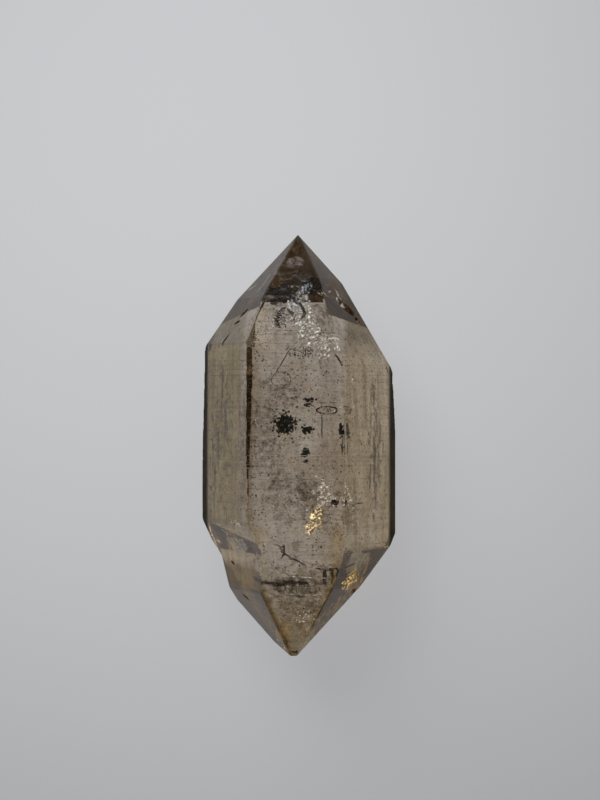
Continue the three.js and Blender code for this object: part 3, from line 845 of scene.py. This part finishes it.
def is_inside(crystal, place, margin):
    _, nearest, normal, _ = crystal.closest_point_on_mesh(place)
    gap = nearest - place
    return gap.dot(normal) > 0 and gap.length > margin


def find_island(first):
    """All the faces that hang together with the first one."""
    island = [first]
    seen = {first}
    for face in island:
        for edge in face.edges:
            for other in edge.link_faces:
                if other not in seen:
                    seen.add(other)
                    island.append(other)
    return island


def keep_inside(bm, crystal):
    """Takes away what a sheet or a crack has outside the crystal, and the crumbs that this leaves."""
    outside = [vert for vert in bm.verts if not is_inside(crystal, vert.co, SHEET_MARGIN)]
    bmesh.ops.delete(bm, geom=outside, context="VERTS")
    counted = set()
    crumbs = []
    for face in bm.faces:
        if face not in counted:
            island = find_island(face)
            counted.update(island)
            if len(island) < LEAST_ISLAND:
                crumbs += island
    bmesh.ops.delete(bm, geom=crumbs, context="FACES")
    loose = [vert for vert in bm.verts if not vert.link_faces]
    bmesh.ops.delete(bm, geom=loose, context="VERTS")
    wires = [edge for edge in bm.edges if not edge.link_faces]
    bmesh.ops.delete(bm, geom=wires, context="EDGES")


def make_cluster(crystal, name, middle, spread, count, largest, material):
    chance = random.Random(name)
    bm = bmesh.new()
    for _ in range(count):
        offset = Vector([chance.gauss(0, CLUSTER_SPREAD) * reach for reach in spread])
        place = (Vector(middle) + offset) * MM
        size = largest * chance.uniform(*GRAIN_SIZES) * MM
        if is_inside(crystal, place, GRAIN_CLEARANCE * size):
            add_grain(bm, place, size, chance)
    finish_piece(name, bm, material)


def is_past_outline(spot, shift):
    around = spot.to_2d().normalized() if spot.length else Vector((1, 0))
    sway = noise.noise(Vector((around.x, around.y, 0)) * OUTLINE_SWAY_SCALE + shift)
    reach = OUTLINE_REACH + OUTLINE_SWAY * sway
    reach += OUTLINE_TEETH * noise.noise(spot * OUTLINE_TEETH_SCALE + shift)
    return spot.length > reach


def count_facets(length, material, most):
    per_mm = FACETS_PER_MM.get(material.name, FILM_FACETS_PER_MM)
    return max(LEAST_FACETS, min(most, round(length * per_mm)))


def make_sheet(crystal, name, middle, across, along, size, bend, crumple, material):
    """A ragged, crumpled sheet, as a fracture inside a crystal is."""
    chance = random.Random(name)
    shift = Vector([chance.uniform(-SHEET_SHIFT, SHEET_SHIFT) for _ in range(3)])
    side = Vector(across).normalized()
    forward = Vector(along) - side * side.dot(Vector(along))
    forward.normalize()
    up = side.cross(forward)
    columns = count_facets(size[0], material, MOST_COLUMNS)
    rows = count_facets(size[1], material, MOST_ROWS)
    bm = bmesh.new()
    bmesh.ops.create_grid(bm, x_segments=columns, y_segments=rows, size=0.5)
    outside = [face for face in bm.faces if is_past_outline(face.calc_center_median(), shift)]
    bmesh.ops.delete(bm, geom=outside, context="FACES")
    for vert in bm.verts:
        flat = Vector((vert.co.x * size[0], vert.co.y * size[1], 0)) * SHEET_STRETCH
        # The bend lowers the middle of the sheet and lifts its two sides
        rise = bend * (4 * vert.co.x * vert.co.x - 0.5)
        rise += crumple * noise.fractal(flat * CRUMPLE_SCALE + shift, *CRUMPLE_NOISE)
        place = Vector(middle) + side * flat.x + forward * flat.y + up * rise
        vert.co = place * MM
    keep_inside(bm, crystal)
    finish_piece(name, bm, material)


def add_crack(bm, points, width, chance):
    """A thin blade that runs through the points and tapers to both ends."""
    path = [Vector(point) for point in points]
    steps = CRACK_STEPS * (len(path) - 1)
    blade = bmesh.ops.create_grid(bm, x_segments=steps, y_segments=2, size=0.5)
    wave = chance.uniform(0, CRACK_WAVES)
    for vert in blade["verts"]:
        share = vert.co.x + 0.5
        run = share * (len(path) - 1)
        leg = min(int(run), len(path) - 2)
        place = path[leg].lerp(path[leg + 1], run - leg)
        heading = (path[leg + 1] - path[leg]).normalized()
        side = heading.cross(Vector((0, 0, 1))).normalized()
        taper = math.sin(math.pi * min(1 - CRACK_END, max(CRACK_END, share))) ** CRACK_TAPER
        along, aside = CRACK_RAGGED_SCALE
        ragged = 1 + CRACK_RAGGED * noise.noise(Vector((run * along, wave, vert.co.y * aside)))
        offset = side * vert.co.y * width * taper * ragged
        course = Vector((run * CRACK_SWAY_SCALE, wave + CRACK_WAVE_GAP, 0))
        sway = side * CRACK_SWAY * noise.noise(course)
        lift = Vector((0, 0, CRACK_TILT * offset.length))
        vert.co = (place + offset + sway + lift) * MM


def make_cracks(crystal, materials):
    chance = random.Random(CRACK_SEED)
    for finish in sorted(CRACKS):
        bm = bmesh.new()
        for points, width in CRACKS[finish]:
            add_crack(bm, points, width, chance)
        keep_inside(bm, crystal)
        finish_piece("cracks_" + finish, bm, materials[finish])


def make_rings(material):
    chance = random.Random(RING_SEED)
    bm = bmesh.new()
    for middle, reach, thickness, sway in RINGS:
        steps = max(RING_LEAST_GRAINS, round(RING_GRAINS_PER_MM * sum(reach)))
        for step in range(steps):
            angle = math.tau * step / steps
            around = Vector((math.cos(angle), math.sin(angle), reach[0]))
            wobble = 1 + sway * noise.noise(around * RING_SWAY_SCALE)
            place = Vector(middle)
            place += Vector((reach[0] * math.cos(angle), reach[1] * math.sin(angle), 0)) * wobble
            place.z += chance.uniform(-RING_SCATTER, RING_SCATTER)
            if chance.random() < RING_SHARE:
                add_grain(bm, place * MM, thickness * chance.uniform(*RING_GRAIN_SIZES) * MM, chance)
    finish_piece("ring_cracks", bm, material)


def make_specks(name, count, crystal, material):
    """Specks all through the crystal, in crowds."""
    chance = random.Random(name)
    smallest, largest = SPECK_SIZE
    bm = bmesh.new()
    made = 0
    while made < count:
        place = Vector([chance.uniform(BODY_LOW[i], BODY_HIGH[i]) for i in range(3)])
        crowd = noise.noise(place * SPECK_CROWD_SCALE)
        if crowd < chance.uniform(-SPECK_CROWD, SPECK_CROWD) or not is_inside(crystal, place, SPECK_MARGIN):
            continue
        size = (smallest + (largest - smallest) * chance.random() ** 2) * MM
        add_grain(bm, place, size, chance)
        made += 1
    finish_piece(name, bm, material)


def make_grey_body(material):
    bm = bmesh.new()
    for middle, radius in GREY_BODY:
        matrix = Matrix.Translation(Vector(middle) * MM)
        bmesh.ops.create_icosphere(bm, subdivisions=4, radius=radius * MM, matrix=matrix)
    for vert in bm.verts:
        lump = noise.fractal(vert.co * GREY_LUMPS_SCALE, *GREY_NOISE)
        vert.co += vert.co.normalized() * GREY_LUMPS * MM * lump
    finish_piece("grey_body", bm, material, smooth=True)


def make_bubble(material):
    bm = bmesh.new()
    body = Matrix.Translation(BUBBLE_PLACE) @ Matrix.Diagonal((*BUBBLE_SIZE, 1.0))
    bmesh.ops.create_icosphere(bm, subdivisions=4, radius=1.0, matrix=body)
    for vert in bm.verts:
        from_tail = (vert.co.x - BUBBLE_PLACE.x) / BUBBLE_SIZE.x
        width = BUBBLE_WAIST + BUBBLE_FLARE * from_tail
        vert.co.y = BUBBLE_PLACE.y + (vert.co.y - BUBBLE_PLACE.y) * width
    core = Matrix.Translation(BUBBLE_PLACE + BUBBLE_CORE_SHIFT)
    bmesh.ops.create_icosphere(bm, subdivisions=3, radius=BUBBLE_CORE, matrix=core)
    finish_piece("two_phase_bubble", bm, material, smooth=True)


def floor_material():
    """A pale floor that is partly lit from within, most of all around one place."""
    material = new_material("floor")
    tree = material.node_tree
    shader = tree.nodes["Principled BSDF"]
    shader.inputs["Base Color"].default_value = FLOOR_COLOUR
    shader.inputs["Roughness"].default_value = FLOOR_ROUGHNESS
    shader.inputs["Specular IOR Level"].default_value = FLOOR_SPECULAR
    shader.inputs["Emission Color"].default_value = FLOOR_GLOW_COLOUR
    coordinates = tree.nodes.new("ShaderNodeTexCoord")
    away = tree.nodes.new("ShaderNodeVectorMath")
    away.operation = "DISTANCE"
    away.inputs[1].default_value = GLOW_MIDDLE
    tree.links.new(coordinates.outputs["Object"], away.inputs[0])
    far_glow = FLOOR_GLOW * GLOW_FAR_SHARE
    glow = add_range(tree, away.outputs["Value"], 0.0, GLOW_REACH, FLOOR_GLOW, far_glow)
    glow.node.interpolation_type = "SMOOTHSTEP"
    tree.links.new(glow, shader.inputs["Emission Strength"])
    return material


def make_floor():
    bpy.ops.mesh.primitive_plane_add(size=FLOOR_SIZE, location=(0, 0, -FLOOR_GAP))
    floor = bpy.context.object
    floor.name = "floor"
    floor.data.materials.append(floor_material())


def make_lights():
    world = bpy.data.worlds.new("studio")
    bpy.context.scene.world = world
    world.use_nodes = True
    background = world.node_tree.nodes["Background"]
    background.inputs["Color"].default_value = WORLD_COLOUR
    background.inputs["Strength"].default_value = WORLD_STRENGTH
    light = bpy.data.lights.new("key", "AREA")
    light.shape = "SQUARE"
    light.size = KEY_SIZE
    light.energy = KEY_POWER
    key = bpy.data.objects.new("key", light)
    key.location = KEY_PLACE
    key.rotation_euler = (-KEY_PLACE).to_track_quat("-Z", "Y").to_euler()
    bpy.context.scene.collection.objects.link(key)


def make_camera():
    camera = bpy.data.cameras.new("camera")
    camera.lens = CAMERA_LENS
    camera.sensor_width = CAMERA_SENSOR
    camera.clip_start = CAMERA_CLIP
    looks = Vector((math.sin(CAMERA_TURN), 0, math.cos(CAMERA_TURN)))
    across = Vector((math.cos(CAMERA_TURN), 0, -math.sin(CAMERA_TURN)))
    turn = Matrix((across, Vector((0, 1, 0)), looks)).transposed().to_4x4()
    holder = bpy.data.objects.new("camera", camera)
    holder.matrix_world = Matrix.Translation(CAMERA_TARGET + looks * CAMERA_DISTANCE) @ turn
    bpy.context.scene.collection.objects.link(holder)
    bpy.context.scene.camera = holder


def set_render():
    scene = bpy.context.scene
    scene.view_settings.view_transform = "Standard"
    scene.cycles.max_bounces = 32
    scene.cycles.transmission_bounces = 24
    scene.cycles.transparent_max_bounces = 32
    scene.cycles.glossy_bounces = 12
    scene.cycles.diffuse_bounces = 3
    scene.cycles.use_denoising = True
    scene.cycles.blur_glossy = 0.3


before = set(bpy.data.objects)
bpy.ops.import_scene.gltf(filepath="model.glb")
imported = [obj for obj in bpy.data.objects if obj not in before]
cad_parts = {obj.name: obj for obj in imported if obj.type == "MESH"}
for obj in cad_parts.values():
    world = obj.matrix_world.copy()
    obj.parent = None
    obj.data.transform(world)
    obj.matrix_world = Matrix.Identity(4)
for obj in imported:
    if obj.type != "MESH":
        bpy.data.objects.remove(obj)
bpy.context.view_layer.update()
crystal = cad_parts["quartz_crystal"]
crystal.data.materials.clear()
crystal.data.materials.append(quartz_material())

materials = make_materials()
for name, middle, spread, count, largest, finish in CLUSTERS:
    make_cluster(crystal, name, middle, spread, count, largest, materials[finish])
for name, middle, across, along, size, bend, crumple, finish in SHEETS:
    make_sheet(crystal, name, middle, across, along, size, bend, crumple, materials[finish])
make_cracks(crystal, materials)
make_rings(materials["dark_grain"])
make_specks("loose_specks", DARK_SPECKS, crystal, materials["dark_grain"])
# The bright specks have the silver finish, and with it its painted glint
make_specks("bright_specks", BRIGHT_SPECKS, crystal, materials["silver_fracture"])
make_grey_body(materials["grey_body"])
make_bubble(materials["bubble"])

make_floor()
make_lights()
make_camera()
set_render()
